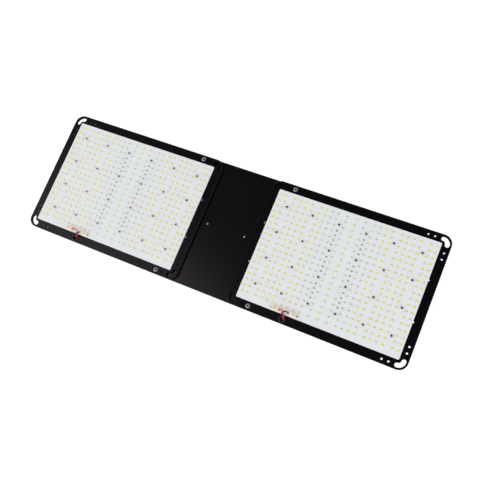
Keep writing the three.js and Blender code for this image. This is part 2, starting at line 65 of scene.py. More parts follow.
slab_bottom = low("heat_sink_left").z
slab_top = high("heat_sink_left").z
board_bottom = low("led_board_left").z
board_top = high("led_board_left").z
sides = {"left": -1, "right": 1}
centres = {word: middle(f"heat_sink_{word}").x for word in sides}
slab_size = high("heat_sink_left") - low("heat_sink_left")
board_size = high("led_board_left") - low("led_board_left")

# ------------------------------------------------------------------ camera


def aim_camera():
    lens, sensor, distance = 52.29, 36.0, 1197.98
    azimuth, elevation, roll = math.radians(63.576), math.radians(70.204), math.radians(-42.143)
    aim = Vector((32.95, -7.82, board_top))
    back = Vector((
        math.sin(azimuth) * math.cos(elevation),
        -math.cos(azimuth) * math.cos(elevation),
        math.sin(elevation),
    ))
    level = Vector((math.cos(azimuth), math.sin(azimuth), 0))
    upright = back.cross(level)
    right = math.cos(roll) * level + math.sin(roll) * upright
    up = back.cross(right)
    data = bpy.data.cameras.new("camera")
    data.lens = lens
    data.sensor_width = sensor
    data.clip_end = 50
    camera = bpy.data.objects.new("camera", data)
    bpy.context.scene.collection.objects.link(camera)
    turn = Matrix((right, up, back)).transposed().to_4x4()
    camera.matrix_world = Matrix.Translation((aim + back * distance) * MM) @ turn
    bpy.context.scene.camera = camera


aim_camera()

# ------------------------------------------------------------------ studio


def studio():
    """Dark overhead and bright towards the horizon, with one large soft light high up at the left front."""
    scene = bpy.context.scene
    scene.view_settings.view_transform = "Standard"
    world = bpy.data.worlds.new("studio")
    world.use_nodes = True
    scene.world = world
    tree = world.node_tree
    coordinates = tree.nodes.new("ShaderNodeTexCoord")
    split = tree.nodes.new("ShaderNodeSeparateXYZ")
    tree.links.new(coordinates.outputs["Generated"], split.inputs[0])
    ramp = tree.nodes.new("ShaderNodeValToRGB")
    stops = [(0.0, 1.36), (0.5, 1.36), (0.76, 0.17), (0.88, 0.07), (1.0, 0.05)]
    elements = ramp.color_ramp.elements
    while len(elements) < len(stops):
        elements.new(0.5)
    for element, (place, level) in zip(elements, stops):
        element.position = place
        element.color = (level, level, level, 1)
    tree.links.new(split.outputs["Z"], ramp.inputs[0])

    towards = Vector((-0.55, -0.42, 0.72)).normalized()
    inner, outer, level = math.radians(28), math.radians(36), 1.35
    facing = tree.nodes.new("ShaderNodeVectorMath")
    facing.operation = "DOT_PRODUCT"
    facing.inputs[1].default_value = towards
    tree.links.new(coordinates.outputs["Generated"], facing.inputs[0])
    glow = tree.nodes.new("ShaderNodeMapRange")
    glow.interpolation_type = "SMOOTHSTEP"
    glow.inputs["From Min"].default_value = math.cos(outer)
    glow.inputs["From Max"].default_value = math.cos(inner)
    glow.inputs["To Max"].default_value = level
    tree.links.new(facing.outputs["Value"], glow.inputs["Value"])
    total = tree.nodes.new("ShaderNodeVectorMath")
    total.operation = "ADD"
    tree.links.new(ramp.outputs["Color"], total.inputs[0])
    tree.links.new(glow.outputs["Result"], total.inputs[1])
    tree.links.new(total.outputs["Vector"], tree.nodes["Background"].inputs["Color"])

    data = bpy.data.lights.new("fill", "AREA")
    data.size = 0.9
    data.energy = 4.0
    lamp = bpy.data.objects.new("fill", data)
    lamp.location = (1.5, -1.2, 1.0)
    lamp.rotation_euler = (-lamp.location).to_track_quat("-Z", "Y").to_euler()
    scene.collection.objects.link(lamp)


studio()

# ------------------------------------------------------------------ materials

finishes = {}


def add_node(tree, kind, **values):
    node = tree.nodes.new(kind)
    for key, value in values.items():
        if key in node.inputs:
            node.inputs[key].default_value = value
        else:
            setattr(node, key, value)
    return node


def finish(name, colour, rough, metal=0.0, specular=0.5, coat=0.0, tone=0.1, patch=25.0, grain=1800.0,
           spread=0.08, bump=0.1, sheen_colour=(1, 1, 1), emission=0.0):
    """A procedural finish: broad patches vary the tone, and a fine grain varies the roughness and the relief."""
    material = bpy.data.materials.new(name)
    material.use_nodes = True
    tree = material.node_tree
    shader = tree.nodes["Principled BSDF"]
    shader.inputs["Metallic"].default_value = metal
    shader.inputs["Specular IOR Level"].default_value = specular
    shader.inputs["Specular Tint"].default_value = (*sheen_colour, 1)
    shader.inputs["Coat Weight"].default_value = coat
    if emission:
        shader.inputs["Emission Color"].default_value = (1, 1, 1, 1)
        shader.inputs["Emission Strength"].default_value = emission
    coordinates = tree.nodes.new("ShaderNodeTexCoord")
    broad = add_node(tree, "ShaderNodeTexNoise", Scale=patch, Detail=4.0)
    fine = add_node(tree, "ShaderNodeTexNoise", Scale=grain, Detail=3.0)
    for noise in (broad, fine):
        tree.links.new(coordinates.outputs["Object"], noise.inputs["Vector"])
    tint = tree.nodes.new("ShaderNodeMix")
    tint.data_type = "RGBA"
    tint.inputs["A"].default_value = (*[c * (1 - tone) for c in colour], 1)
    tint.inputs["B"].default_value = (*[min(1, c * (1 + tone)) for c in colour], 1)
    tree.links.new(broad.outputs["Fac"], tint.inputs["Factor"])
    tree.links.new(tint.outputs["Result"], shader.inputs["Base Color"])
    roughness = tree.nodes.new("ShaderNodeMapRange")
    roughness.inputs["From Min"].default_value = 0.3
    roughness.inputs["From Max"].default_value = 0.7
    roughness.inputs["To Min"].default_value = max(0.02, rough - spread)
    roughness.inputs["To Max"].default_value = min(1, rough + spread)
    tree.links.new(fine.outputs["Fac"], roughness.inputs["Value"])
    tree.links.new(roughness.outputs["Result"], shader.inputs["Roughness"])
    relief = add_node(tree, "ShaderNodeBump", Strength=bump, Distance=0.0001)
    tree.links.new(fine.outputs["Fac"], relief.inputs["Height"])
    tree.links.new(relief.outputs["Normal"], shader.inputs["Normal"])
    finishes[name] = material
    return material


anodised = (1.0, 0.87, 0.99)
finish("heat_sink", (0.0027, 0.0021, 0.0028), 0.20, specular=0.28, tone=0.2, patch=14, grain=2600, spread=0.05,
       bump=0.05, sheen_colour=anodised)
finish("centre_plate", (0.0023, 0.0018, 0.0024), 0.16, specular=0.50, tone=0.2, patch=18, grain=2200, spread=0.05,
       bump=0.06, sheen_colour=anodised)
# Upright faces: matte like sawn metal, and darker and less shiny than the rolled faces as painted shade in slots, holes
# and beside slab edges.
finish("matte_face_painted_shade", (0.0012, 0.001, 0.0012), 0.6, specular=0.03, tone=0.2, patch=60, grain=2200, bump=0.15)
finish("wire_terminal", (0.88, 0.76, 0.55), 0.38, tone=0.05, patch=120, grain=900, bump=0.05)
finish("grommet", (0.010, 0.010, 0.011), 0.42, specular=0.6, tone=0.2, patch=200, grain=1500, bump=0.2)
finish("rivet", (0.27, 0.26, 0.26), 0.34, metal=1, tone=0.06, patch=300, grain=1200, spread=0.08, bump=0.1)
finish("flush_rim", (0.46, 0.38, 0.40), 0.45, metal=0.1, tone=0.06, patch=300, grain=1200, bump=0.1)
finish("mandrel", (0.014, 0.011, 0.012), 0.5, metal=1, tone=0.2, patch=400, grain=1200, bump=0.2)
finish("screw", (0.62, 0.62, 0.63), 0.28, metal=1, tone=0.08, patch=300, grain=1600, bump=0.1)
finish("board_screw", (0.68, 0.64, 0.66), 0.24, metal=1, tone=0.05, patch=300, grain=1600, bump=0.1)
# Near-black finish for the inside of the board screws' recesses: painted shade, not the screws' own colour.
finish("recess_painted_shade", (0.03, 0.015, 0.02), 0.5, tone=0.15, patch=300, grain=1600, bump=0.1)
finish("contact", (0.32, 0.17, 0.08), 0.35, metal=1, tone=0.1, patch=300, grain=1600, bump=0.1)
finish("driver_housing", (0.045, 0.047, 0.052), 0.42, tone=0.12, patch=30, grain=2400, bump=0.25)
finish("gland", (0.012, 0.012, 0.013), 0.45, tone=0.2, patch=150, grain=1800, bump=0.15)
finish("gland_seal", (0.03, 0.03, 0.03), 0.65, tone=0.2, patch=150, grain=1800, bump=0.15)
finish("knob", (0.011, 0.011, 0.012), 0.4, tone=0.2, patch=150, grain=1800, bump=0.12)
finish("pointer", (0.8, 0.8, 0.78), 0.4, tone=0.04, patch=200, grain=1500, bump=0.05)
finish("dimmer_metal", (0.60, 0.60, 0.58), 0.25, metal=1, tone=0.06, patch=300, grain=1500)
finish("dimmer_body", (0.25, 0.26, 0.28), 0.5, tone=0.1, patch=150, grain=1500)
finish("circuit_board", (0.015, 0.11, 0.05), 0.35, tone=0.25, patch=300, grain=1200)
finish("ferrite", (0.04, 0.037, 0.035), 0.6, tone=0.2, patch=150, grain=1200, bump=0.3)
finish("capacitor", (0.012, 0.016, 0.03), 0.3, tone=0.15, patch=150, grain=1500)
finish("cable_jacket", (0.012, 0.012, 0.013), 0.5, tone=0.15, patch=60, grain=1500, bump=0.2)
finish("red_wire", (0.95, 0.008, 0.045), 0.32, coat=0.15, tone=0.08, patch=80, grain=900, bump=0.05)
finish("black_wire", (0.004, 0.004, 0.005), 0.42, specular=0.25, tone=0.2, patch=80, grain=900, bump=0.05)
finish("splice", (0.36, 0.37, 0.39), 0.3, tone=0.06, patch=80, grain=900, bump=0.06)
finish("splice_window", (0.62, 0.60, 0.55), 0.15, coat=0.3, tone=0.04, patch=80, grain=900, bump=0.03)
finish("clip", (0.012, 0.012, 0.012), 0.45, tone=0.2, patch=150, grain=1500, bump=0.15)
finish("led_case", (0.90, 0.89, 0.66), 0.35, tone=0.04, patch=400, grain=1500, bump=0.05)
finish("led_white", (0.98, 0.92, 0.10), 0.28, coat=0.3, tone=0.14, patch=90, grain=1500, bump=0.08)
finish("led_red", (0.70, 0.62, 0.64), 0.2, coat=0.4, tone=0.12, patch=90, grain=1500, bump=0.03)
finish("led_chip", (0.15, 0.06, 0.075), 0.3, coat=0.3, tone=0.3, patch=300, grain=1500, bump=0.03)
finish("led_small", (0.20, 0.20, 0.21), 0.16, coat=0.5, tone=0.15, patch=200, grain=1500, bump=0.03)
finish("tab_solder", (0.16, 0.12, 0.13), 0.4, metal=0.8, tone=0.1, patch=500, grain=1500, bump=0.2)
finish("solder", (0.5, 0.48, 0.48), 0.32, metal=1, tone=0.1, patch=500, grain=1500, bump=0.2)
finish("floor", (0.5, 0.5, 0.5), 0.6, specular=0.1, tone=0.01, patch=3, grain=300, spread=0.05, bump=0.02,
       emission=0.78)


def solder_mask():
    """White solder mask: copper areas under it show as faint tiles with soft sunk edges."""
    pitch = 10.5 * MM
    material = finish("led_board", (0.825, 0.855, 0.875), 0.34, specular=0.45, tone=0.02, patch=9, grain=900,
                      bump=0.05)
    tree = material.node_tree
    shader = tree.nodes["Principled BSDF"]
    coordinates = tree.nodes["Texture Coordinate"]
    shift = add_node(tree, "ShaderNodeMapping")
    shift.inputs["Location"].default_value = (0, 2.9 * MM, 0)
    tree.links.new(coordinates.outputs["Object"], shift.inputs["Vector"])
    tiles = add_node(tree, "ShaderNodeTexBrick", Scale=1.0)
    tiles.offset = 0.0
    tiles.squash = 1.0
    settings = {"Mortar Size": 0.25 * MM, "Mortar Smooth": 1.0, "Brick Width": 2 * pitch, "Row Height": pitch}
    for key, value in settings.items():
        tiles.inputs[key].default_value = value
    tiles.inputs["Color1"].default_value = (1, 1, 1, 1)
    tiles.inputs["Color2"].default_value = (0.985, 0.985, 0.985, 1)
    tiles.inputs["Mortar"].default_value = (0.95, 0.955, 0.96, 1)
    tree.links.new(shift.outputs["Vector"], tiles.inputs["Vector"])
    tinted = tree.nodes.new("ShaderNodeMix")
    tinted.data_type = "RGBA"
    tinted.blend_type = "MULTIPLY"
    tinted.inputs["Factor"].default_value = 1.0
    old = shader.inputs["Base Color"].links[0].from_socket
    tree.links.new(old, tinted.inputs["A"])
    tree.links.new(tiles.outputs["Color"], tinted.inputs["B"])
    tree.links.new(tinted.outputs["Result"], shader.inputs["Base Color"])
    edge = add_node(tree, "ShaderNodeBump", Strength=0.5, Distance=0.00004)
    edge.invert = True
    tree.links.new(tiles.outputs["Fac"], edge.inputs["Height"])
    tree.links.new(shader.inputs["Normal"].links[0].from_socket, edge.inputs["Normal"])
    tree.links.new(edge.outputs["Normal"], shader.inputs["Normal"])


solder_mask()

# ------------------------------------------------------------------ shapes: a shape is (points, faces) in mm


def joined(shapes):
    points, faces = [], []
    for part_points, part_faces in shapes:
        base = len(points)
        points += [Vector(p) for p in part_points]
        faces += [[base + i for i in face] for face in part_faces]
    return points, faces


def placed(shape, x=0.0, y=0.0, z=0.0, turn=None):
    offset = Vector((x, y, z))
    points = [(turn @ Vector(p) if turn else Vector(p)) + offset for p in shape[0]]
    return points, shape[1]


# Turns: a shape's +Z to another axis.
to_right = Matrix(((0, 0, 1), (1, 0, 0), (0, 1, 0)))
to_left = Matrix(((0, 0, -1), (-1, 0, 0), (0, 1, 0)))
to_down = Matrix(((1, 0, 0), (0, -1, 0), (0, 0, -1)))


def circle(x, y, radius, count=32):
    angles = [2 * math.pi * i / count for i in range(count)]
    return [(x + radius * math.cos(a), y + radius * math.sin(a)) for a in angles]


def arc(x, y, radius, start, end, count):
    angles = [start + (end - start) * i / count for i in range(count + 1)]
    return [(x + radius * math.cos(a), y + radius * math.sin(a)) for a in angles]


def rounded(length, width, radius, count=6, x=0.0, y=0.0):
    corners = [(1, -1, -0.5), (1, 1, 0.0), (-1, 1, 0.5), (-1, -1, 1.0)]
    loop = []
    for sign_x, sign_y, start in corners:
        centre_x = x + sign_x * (length / 2 - radius)
        centre_y = y + sign_y * (width / 2 - radius)
        loop += arc(centre_x, centre_y, radius, start * math.pi, (start + 0.5) * math.pi, count)
    return loop


def inset(loop, amount):
    """Moves a loop to its left side: inwards for an outline, and outwards from a hole that is given clockwise."""
    count = len(loop)
    moved = []
    for i, here in enumerate(loop):
        before = Vector(loop[i - 1])
        after = Vector(loop[(i + 1) % count])
        here = Vector(here)
        first = (here - before).normalized()
        second = (after - here).normalized()
        normal = Vector((-first.y - second.y, first.x + second.x))
        scale = normal.length_squared / 2
        moved.append(tuple(here + normal * (amount / max(scale, 0.3))))
    return moved


def cap(loops, z, facing_up):
    """Fills the area between an outline and its holes at height z."""
    mesh = bmesh.new()
    edges = []
    for loop in loops:
        corners = [mesh.verts.new((x, y, z)) for x, y in loop]
        edges += [mesh.edges.new((corners[i - 1], corners[i])) for i in range(len(corners))]
    bmesh.ops.triangle_fill(mesh, use_beauty=True, use_dissolve=False, edges=edges, normal=(0, 0, 1))
    mesh.verts.index_update()
    points = [v.co.copy() for v in mesh.verts]
    faces = []
    for face in mesh.faces:
        order = [v.index for v in face.verts]
        if (face.normal.z > 0) != facing_up:
            order.reverse()
        faces.append(order)
    mesh.free()
    return points, faces


def solid(outline, holes, bottom, top, chamfer=0.0, hole_chamfer=None):
    """An upright prism with holes and chamfered rims. The outline runs anticlockwise, and so do the holes."""
    hole_chamfer = chamfer if hole_chamfer is None else hole_chamfer
    loops = [(outline, chamfer)] + [(hole[::-1], hole_chamfer) for hole in holes]
    shapes = []
    ends = {bottom: [], top: []}
    for loop, edge in loops:
        if edge > 0:
            small = inset(loop, edge)
            rings = [(small, bottom), (loop, bottom + edge), (loop, top - edge), (small, top)]
        else:
            small = loop
            rings = [(loop, bottom), (loop, top)]
        ends[bottom].append(small)
        ends[top].append(small)
        count = len(loop)
        points = [(x, y, z) for ring, z in rings for x, y in ring]
        faces = []
        for level in range(len(rings) - 1):
            for i in range(count):
                j = (i + 1) % count
                base = level * count
                faces.append([base + i, base + j, base + count + j, base + count + i])
        shapes.append((points, faces))
    shapes.append(cap(ends[bottom], bottom, False))
    shapes.append(cap(ends[top], top, True))
    return joined(shapes)


def turned(profile, count=32, recess=None, depth=0.0):
    """A turned shape about Z from (radius, height) pairs, given upwards along its outside.

    It starts on the axis, and ends on it, or ends at a flat rim, which a recess outline then fills."""
    points, faces, rings = [], [], []
    for radius, height in profile:
        if radius == 0:
            rings.append([len(points)])
            points.append((0, 0, height))
        else:
            rings.append(list(range(len(points), len(points) + count)))
            points += [(x, y, height) for x, y in circle(0, 0, radius, count)]
    if profile[0] == profile[-1]:
        del points[-count:]
        rings[-1] = rings[0]
    for lower, upper in zip(rings, rings[1:]):
        for i in range(count):
            j = (i + 1) % count
            corners = [lower[i % len(lower)], lower[j % len(lower)], upper[j % len(upper)], upper[i % len(upper)]]
            face = list(dict.fromkeys(corners))
            if len(face) > 2:
                faces.append(face)
    shape = (points, faces)
    if recess:
        rim_radius, rim = profile[-1]
        floor_loop = inset(recess, depth * 0.25)
        count_in = len(recess)
        wall = [(x, y, rim) for x, y in recess] + [(x, y, rim - depth) for x, y in floor_loop]
        sides_of = [[i, (i + 1) % count_in, count_in + (i + 1) % count_in, count_in + i] for i in range(count_in)]
        shape = joined([
            shape,
            cap([circle(0, 0, rim_radius, count), recess], rim, True),
            (wall, sides_of),
            cap([floor_loop], rim - depth, True),
        ])
    return shape


def cross(reach, half_width):
    loop = []
    for k in range(4):
        angle = k * math.pi / 2
        along = Vector((math.cos(angle), math.sin(angle)))
        across = Vector((-along.y, along.x))
        loop += [tuple(along * reach - across * half_width), tuple(along * reach + across * half_width)]
        loop.append(tuple(along * half_width + across * half_width))
    return loop


def pan_head(radius, height):
    """Pan head of a cross-recessed screw; height 0 is the face that it clamps."""
    profile = [(0, 0), (radius, 0), (radius, height * 0.45)]
    profile += [(radius - 0.32 * radius * (1 - math.cos(a)), height * (0.45 + 0.55 * math.sin(a)))
                for a in (0.5, 1.0, 1.35)]
    profile.append((radius * 0.62, height))
    return turned(profile, 24, cross(radius * 0.42, radius * 0.11), height * 0.5)


def route(points, steps=7):
    """A centripetal Catmull-Rom curve through the points, as the CAD draws its wires."""
    points = [Vector(p) for p in points]
    ends = [points[0] * 2 - points[1]] + points + [points[-1] * 2 - points[-2]]
    path = []
    for i in range(1, len(ends) - 2):
        a, b, c, d = ends[i - 1:i + 3]
        before, here, after = (math.sqrt((q - p).length) for p, q in ((a, b), (b, c), (c, d)))
        leave = ((b - a) / before - (c - a) / (before + here) + (c - b) / here) * here
        arrive = ((c - b) / here - (d - b) / (here + after) + (d - c) / after) * here
        for k in range(steps):
            t = k / steps
            path.append(b + leave * t + (c * 3 - b * 3 - leave * 2 - arrive) * t ** 2
                        + (b * 2 - c * 2 + leave + arrive) * t ** 3)
    return path + [points[-1]]


def swept(path, radius, count=16):
    """A round bar along a path, with the ring of points carried along without twist."""
    side = Vector((0, 0, 1))
    points, faces = [], []
    for i, here in enumerate(path):
        along = (path[min(i + 1, len(path) - 1)] - path[max(i - 1, 0)]).normalized()
        side = (side - along * side.dot(along)).normalized()
        other = along.cross(side)
        for k in range(count):
            angle = 2 * math.pi * k / count
            points.append(here + side * (radius * math.cos(angle)) + other * (radius * math.sin(angle)))
    for i in range(len(path) - 1):
        for k in range(count):
            j = (k + 1) % count
            base = i * count
            faces.append([base + k, base + j, base + count + j, base + count + k])
    last = (len(path) - 1) * count
    faces.append(list(range(count))[::-1])
    faces.append([last + k for k in range(count)])
    return points, faces


# ------------------------------------------------------------------ pieces


def smooth(mesh, angle):
    """Smooth shading, with a sharp edge wherever the surface turns by more than the angle."""
    work = bmesh.new()
    work.from_mesh(mesh)
    bmesh.ops.remove_doubles(work, verts=work.verts, dist=1e-7)
    bmesh.ops.recalc_face_normals(work, faces=work.faces)
    limit = math.radians(angle)
    for face in work.faces:
        face.smooth = True
    for edge in work.edges:
        edge.smooth = edge.calc_face_angle(math.pi) < limit
    work.to_mesh(mesh)
    work.free()


def add_piece(name, mesh, material, angle, stands_for=(), body="light"):
    mesh.materials.append(finishes[material])
    smooth(mesh, angle)
    piece = bpy.data.objects.new(name, mesh)
    bpy.context.scene.collection.objects.link(piece)
    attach(piece, body)
    if stands_for:
        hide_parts(*stands_for)
    return piece


def make(name, shape, material, slot=None, stands_for=(), body="light"):
    """Makes a piece from a shape in mm."""
    points, faces = shape
    mesh = bpy.data.meshes.new(name)
    mesh.from_pydata([Vector(p) * MM for p in points], [], faces)
    mesh.validate()
    return add_piece(name, mesh, material, 28, stands_for, body)


def refined(node, width, material):
    """Stands for a CAD node with the same shape and softly broken edges."""
    work = bmesh.new()
    work.from_mesh(nodes[node].data)
    bmesh.ops.remove_doubles(work, verts=work.verts, dist=1e-6)
    bmesh.ops.dissolve_limit(work, angle_limit=math.radians(1), verts=work.verts, edges=work.edges)
    sharp = [e for e in work.edges if e.calc_face_angle(0) > math.radians(35)]
    bmesh.ops.bevel(work, geom=sharp, offset=width * MM, segments=2, profile=0.7, affect="EDGES",
                    clamp_overlap=True, loop_slide=True)
    mesh = bpy.data.meshes.new(node + "_finished")
    work.to_mesh(mesh)
    work.free()
    add_piece(node + "_finished", mesh, material, 40, stands_for=[node])


def floor():
    half = 6000
    mesh = bpy.data.meshes.new("floor")
    corners = [(-half, -half, 0), (half, -half, 0), (half, half, 0), (-half, half, 0)]
    mesh.from_pydata([Vector(c) * MM for c in corners], [], [[0, 1, 2, 3]])
    mesh.materials.append(finishes["floor"])
    plane = bpy.data.objects.new("floor", mesh)
    bpy.context.scene.collection.objects.link(plane)


floor()

# ------------------------------------------------------------------ heat sinks and centre plate

# Places are given from a heat sink's middle: holes by their distances, which hold for all four quarters.
slab_corner = 16
slot_radius = 8.7
slot_half_width = 3.8
small_hole = 1.8
rivet_hole = 2.1
open_holes = [(128.2, 108), (150.5, 85.8), (150.5, 74.7)]
outer_holes = [(117, 108), (142.5, 36)]
corner_rivet = (117, 108)
flush_rivet = (144, 36)
wire_hole = (-54.5, -107.9)
wire_hole_radius = 5.1


def corner_slot(x, y, sign_x, sign_y):
    """Quarter-ring slot about the centre of a rounded corner, with round ends."""
    start = math.atan2(sign_y, sign_x) - math.pi / 4
    end = start + math.pi / 2
    outer = arc(x, y, slot_radius + slot_half_width, start, end, 20)
    inner = arc(x, y, slot_radius - slot_half_width, end, start, 12)

    def round_end(angle, first):
        centre_x = x + slot_radius * math.cos(angle)
        centre_y = y + slot_radius * math.sin(angle)
        return arc(centre_x, centre_y, slot_half_width, first, first + math.pi, 12)[1:-1]

    return outer + round_end(end, end) + inner + round_end(start, start + math.pi)


def dull_and_shade_upright_faces(piece):
    """Upright faces get a second material. It is duller, as sawn and drilled faces are, and its darker colour and
    weaker sheen are painted shade on the walls of the slots and holes and beside a slab's edge.
    """
    piece.data.materials.append(finishes["matte_face_painted_shade"])
    for face in piece.data.polygons:
        if abs(face.normal.z) < 0.3:
            face.material_index = 1


def heat_sink(word):
    x0 = centres[word]
    holes = []
    for sign_x in (-1, 1):
        for sign_y in (-1, 1):
            corner_x = x0 + sign_x * (slab_size.x / 2 - slab_corner)
            corner_y = sign_y * (slab_size.y / 2 - slab_corner)
            holes.append(corner_slot(corner_x, corner_y, sign_x, sign_y))
            riveted = sign_x == -sides[word]
            places = open_holes if riveted else open_holes + outer_holes
            holes += [circle(x0 + sign_x * x, sign_y * y, small_hole, 24) for x, y in places]
            if riveted:
                rivet_places = (corner_rivet, flush_rivet)
                holes += [circle(x0 + sign_x * x, sign_y * y, rivet_hole, 24) for x, y in rivet_places]
    holes.append(circle(x0 + wire_hole[0], wire_hole[1], wire_hole_radius, 40))
    outline = rounded(slab_size.x, slab_size.y, slab_corner, 16, x0, 0)
    shape = solid(outline, holes, slab_bottom, slab_top, 0.4, 0.15)
    piece = make(f"heat_sink_{word}_finished", shape, "heat_sink", stands_for=[f"heat_sink_{word}"])
    dull_and_shade_upright_faces(piece)


def centre_plate():
    lo, hi = low("centre_plate"), high("centre_plate")
    outline = rounded(hi.x - lo.x, hi.y - lo.y, 6, 8)
    shape = solid(outline, [], lo.z, hi.z, 0.3)
    piece = make("centre_plate_finished", shape, "centre_plate", stands_for=["centre_plate"])
    dull_and_shade_upright_faces(piece)


for word in sides:
    heat_sink(word)
centre_plate()

# ------------------------------------------------------------------ rivets, grommets and screws

# The driver's case ends at case_end from its middle, and its end plates' outer faces are at end_plate_face.
case_end = 108
end_plate_face = 111
foot_underside = 36
# Screw sizes: shank radius, shank length, head radius, head height.
centre_screw = (0.95, 6, 1.6, 1.2)
end_plate_screw = (1.4, 9, 2.7, 2)
foot_screw = (1.95, 9, 3.9, 2.6)


def rivets():
    """Dome rivets at the corners, and flush ones half under the boards, each with its broken-off mandrel."""
    thickness = slab_top - low("centre_plate").z
    tail = [(0, -3.6), (1.4, -3.5), (2.6, -2.9), (3.2, -1.6), (3.15, -0.6), (3, 0), (1.95, 0)]
    tail = [(r, h - thickness) for r, h in tail]
    dome = [(1.95, 0), (3.9, 0), (3.9, 0.25), (3.7, 0.5), (3.1, 0.95), (2.4, 1.24), (1.8, 1.3), (1.55, 1.15)]
    dome += [(1.45, 0.3), (0, 0.3)]
    flush = [(1.95, -2), (3.9, -0.05), (3.8, 0), (1.7, 0), (1.5, -0.15), (1.45, -0.9), (0, -0.9)]
    mandrel = [(0, 0.2), (1.35, 0.2), (1.35, 0.42), (1.0, 0.55), (0, 0.6)]
    for word, side in sides.items():
        for place, sign_y in (("front", -1), ("rear", 1)):
            for kind, profile, hole, drop in (("corner", dome, corner_rivet, 0), ("flush", flush, flush_rivet, 1.2)):
                x = centres[word] - side * hole[0]
                y = sign_y * hole[1]
                node = f"{kind}_rivet_{word}_{place}"
                look = ("rivet",) if kind == "corner" else ("flush_rim", "rivet")
                make(node + "_finished", placed(turned(tail + profile, 40), x, y, slab_top), *look,
                     stands_for=[node])
                make(node + "_mandrel", placed(turned(mandrel, 20), x, y, slab_top - drop), "mandrel", "rivet")


def grommets():
    """Each rubber ring grips the heat sink, and its thin floor closes round the two leads."""
    top = -slab_size.z
    bottom = top - 1
    profile = [(4.2, bottom), (5.6, bottom), (5.9, bottom + 0.2), (5.9, top), (4.9, top), (4.9, 0), (5.9, 0)]
    profile += [(5.9, 0.35), (5.7, 0.75), (5.25, 1.0), (4.75, 0.95), (4.35, 0.6), (4.2, 0.1), (4.2, bottom)]
    lead_places = [(1.9, 0.6), (-2.1, -0.2)]
    floor_holes = [circle(x, y, 1.06, 20) for x, y in lead_places]
    web = solid(circle(0, 0, 4.25, 32), floor_holes, bottom, top)
    shape = joined([turned(profile, 48), web])
    for word in sides:
        place = (centres[word] + wire_hole[0], wire_hole[1], slab_top)
        make(f"wire_grommet_{word}_finished", placed(shape, *place), "grommet",
             stands_for=[f"wire_grommet_{word}"])


def screws():
    """The screws that the CAD holds, each with a real head on the CAD screw's shank."""
    head_towards = {"up": Matrix.Identity(3), "down": to_down, "right": to_right, "left": to_left}

    def screw(node, direction, face, size):
        shank_radius, shank_length, head_radius, head_height = size
        shank = turned([(0, -shank_length), (shank_radius * 0.8, -shank_length), (shank_radius, -shank_length + 0.6),
                        (shank_radius, 0), (0, 0)], 20)
        shape = placed(joined([pan_head(head_radius, head_height), shank]), *face, head_towards[direction])
        make(node + "_finished", shape, "screw", stands_for=[node])

    for word in sides:
        node = f"centre_screw_{word}"
        at = middle(node)
        screw(node, "up", (at.x, at.y, slab_bottom), centre_screw)
    for word, sign, direction in (("inlet", 1, "right"), ("outlet", -1, "left")):
        for number in range(1, 5):
            node = f"{word}_plate_screw_{number}"
            at = middle(node)
            screw(node, direction, (sign * end_plate_face, at.y, at.z), end_plate_screw)
        for place in ("front", "rear"):
            node = f"{word}_foot_screw_{place}"
            at = middle(node)
            screw(node, "down", (at.x, at.y, foot_underside), foot_screw)


rivets()
grommets()
screws()

# ------------------------------------------------------------------ LED boards

# Places are given from a board's middle: columns along X and rows along Y.
row_pitch = 10.5
row_centre = 2.2
rows = [row_centre + row_pitch * (i - 8.5) for i in range(18)]
yellow_columns = [0] + [sign * x for x in (52.8, 63.3, 79.4, 89.9, 100.4, 111, 127, 136.6) for sign in (-1, 1)]
red_columns = [sign * x for x in (15.8, 31.8, 42.3) for sign in (-1, 1)]
screw_columns = [sign * x for x in (23.8, 71.4, 119) for sign in (-1, 1)]
screw_rows = [73.55, 26.05, -21.45, -68.95]
small_led_columns = [-23.8, 23.8]
small_led_offsets = [-12.75, -4.25, 4.25, 12.75]


def led_parts():
    """The pieces of one LED package of 3.5 x 2.8 mm, with its base at height 0."""
    window = rounded(3.3, 2.62, 0.5, 3)
    case = solid(rounded(3.5, 2.8, 0.2, 1), [window], 0.06, 0.72, 0.05)
    face = solid(window, [], 0.1, 0.66, 0.06)
    pads = joined([solid(rounded(0.7, 2.3, 0.15, 1, side * 1.75, 0), [], 0, 0.16, 0.05) for side in (-1, 1)])
    return case, face, pads


def red_led_parts():
    """The pieces of one LED package of 3.5 x 2.8 mm with a round cup and a small chip under a clear lens."""
    cup = circle(0, 0, 1.15, 16)
    case = solid(rounded(3.5, 2.8, 0.2, 1), [cup], 0.06, 0.72, 0.05)
    face = solid(cup, [], 0.1, 0.62, 0.06)
    chip = solid(rounded(1.15, 1.0, 0.1, 1), [], 0.5, 0.67, 0.03)
    return case, face, chip


def dome_led_parts():
    """The pieces of one square LED with a dome lens, 3.2 mm on a side."""
    case = solid(rounded(3.2, 3.2, 0.2, 2), [], 0.06, 0.55, 0.06)
    dome = [(0, 0.5), (1.32, 0.5), (1.32, 0.6)] + [
        (1.32 * math.cos(a), 0.6 + 0.85 * math.sin(a)) for a in (0.35, 0.7, 1.05, 1.3)] + [(0, 1.45)]
    pads = joined([solid(rounded(0.6, 2.6, 0.15, 1, side * 1.6, 0), [], 0, 0.16, 0.05) for side in (-1, 1)])
    return case, turned(dome, 16), pads


